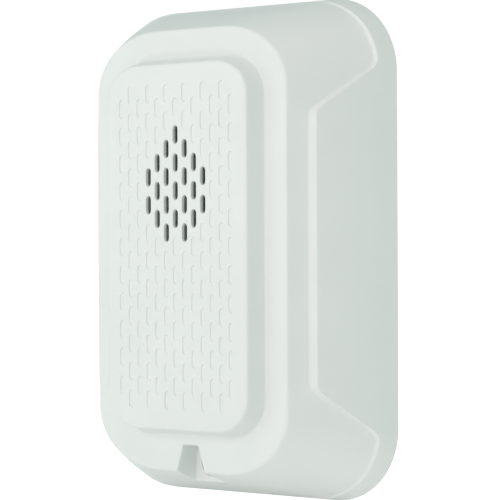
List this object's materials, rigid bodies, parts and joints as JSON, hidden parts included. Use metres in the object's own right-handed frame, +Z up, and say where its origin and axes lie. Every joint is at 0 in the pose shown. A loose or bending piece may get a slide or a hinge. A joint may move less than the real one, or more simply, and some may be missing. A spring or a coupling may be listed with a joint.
{
  "type": "alarm sounder",
  "caption": "Wall-mounted alarm sounder: a slope-sided off-white housing with a slotted grille pad swings off a wall plate with screw terminals; a piezo sounder and its board sit inside.",
  "frame": {"origin": "centre of the mounting plate's back face, on the wall", "axes": "+Z up along the long side, +Y into the wall, +X to the right as seen from the room"},
  "size_m": [0.1194, 0.0318, 0.1422],
  "materials": {
    "housing_plastic": "off-white moulded plastic with a fine satin texture",
    "cover_plastic": "off-white moulded plastic, plain",
    "plate_plastic": "off-white moulded plastic, plain",
    "dust_mesh": "black woven dust mesh",
    "black_plastic": "black moulded plastic",
    "foam": "closed-cell foam",
    "brass": "rolled brass",
    "piezo_ceramic": "silvered piezo ceramic",
    "board_laminate": "green solder mask over glass-fibre laminate",
    "ferrite": "dark pressed ferrite",
    "winding_tape": "yellow film tape over the winding",
    "capacitor_sleeve": "dark shrink sleeve",
    "selector_plastic": "white moulded plastic",
    "zinc_steel": "zinc-plated steel",
    "spring_steel": "bright spring steel",
    "terminal_plastic": "black moulded plastic",
    "lead_red": "red wire insulation",
    "lead_black": "black wire insulation"
  },
  "bodies": {
    "wall_base": {"mounting_plate": "plate_plastic", "threaded_insert": "brass", "terminal_block": "terminal_plastic", "shorting_spring": "spring_steel", "contact_clip_1": "brass", "contact_clip_2": "brass", "contact_clip_3": "brass", "contact_clip_4": "brass"},
    "front_assembly": {"front_housing": "housing_plastic", "rear_cover": "cover_plastic", "dust_screen": "dust_mesh", "sounder_chamber": "black_plastic", "piezo_gasket": "foam", "piezo_brass_disc": "brass", "piezo_ceramic": "piezo_ceramic", "sounder_retainer": "black_plastic", "piezo_lead_red": "lead_red", "piezo_lead_black": "lead_black", "circuit_board": "board_laminate", "transformer_core": "ferrite", "transformer_winding_1": "winding_tape", "transformer_winding_2": "winding_tape", "capacitor_1": "capacitor_sleeve", "capacitor_2": "capacitor_sleeve", "power_transistor": "black_plastic", "controller_chip": "black_plastic", "selector_body": "black_plastic", "cover_screw_1": "zinc_steel", "board_screw_1": "zinc_steel", "contact_pin_1": "brass", "cover_screw_2": "zinc_steel", "board_screw_2": "zinc_steel", "contact_pin_2": "brass", "cover_screw_3": "zinc_steel", "board_screw_3": "zinc_steel", "contact_pin_3": "brass", "cover_screw_4": "zinc_steel", "board_screw_4": "zinc_steel", "contact_pin_4": "brass"},
    "screw_ring": {"screw_retaining_ring": "black_plastic"},
    "captive_screw": {"captive_screw": "zinc_steel"},
    "tone_selector": {"selector_rotor": "selector_plastic"},
    "terminal_1": {"terminal_screw_1": "zinc_steel", "terminal_clamp_1": "zinc_steel"},
    "terminal_2": {"terminal_screw_2": "zinc_steel", "terminal_clamp_2": "zinc_steel"},
    "terminal_3": {"terminal_screw_3": "zinc_steel", "terminal_clamp_3": "zinc_steel"},
    "terminal_4": {"terminal_screw_4": "zinc_steel", "terminal_clamp_4": "zinc_steel"}
  },
  "joints": [
    {"name": "housing_swing", "type": "hinge", "parent": "wall_base", "child": "front_assembly", "pos_m": [0, -0.0032, 0.0679], "axis": [-1, 0, 0], "range_deg": [0, 27]},
    {"name": "captive_screw_advance", "type": "slide", "parent": "front_assembly", "child": "screw_ring", "axis": [0, -1, 0], "range_m": [0, 0.0042]},
    {"name": "captive_screw_turn", "type": "hinge", "parent": "screw_ring", "child": "captive_screw", "pos_m": [0, -0.0097, -0.0618], "axis": [0, -1, 0], "range_deg": [0, 2160]},
    {"name": "tone_selector_turn", "type": "hinge", "parent": "front_assembly", "child": "tone_selector", "pos_m": [0.027, -0.0065, 0.008], "axis": [0, 1, 0], "range_deg": [0, 315]},
    {"name": "terminal_1_travel", "type": "slide", "parent": "wall_base", "child": "terminal_1", "axis": [0, -1, 0], "range_m": [0, 0.002]},
    {"name": "terminal_2_travel", "type": "slide", "parent": "wall_base", "child": "terminal_2", "axis": [0, -1, 0], "range_m": [0, 0.002]},
    {"name": "terminal_3_travel", "type": "slide", "parent": "wall_base", "child": "terminal_3", "axis": [0, -1, 0], "range_m": [0, 0.002]},
    {"name": "terminal_4_travel", "type": "slide", "parent": "wall_base", "child": "terminal_4", "axis": [0, -1, 0], "range_m": [0, 0.002]}
  ],
  "couplings": [
    {"joint": "captive_screw_turn", "follows": "captive_screw_advance", "rad_per_m": 8976}
  ]
}
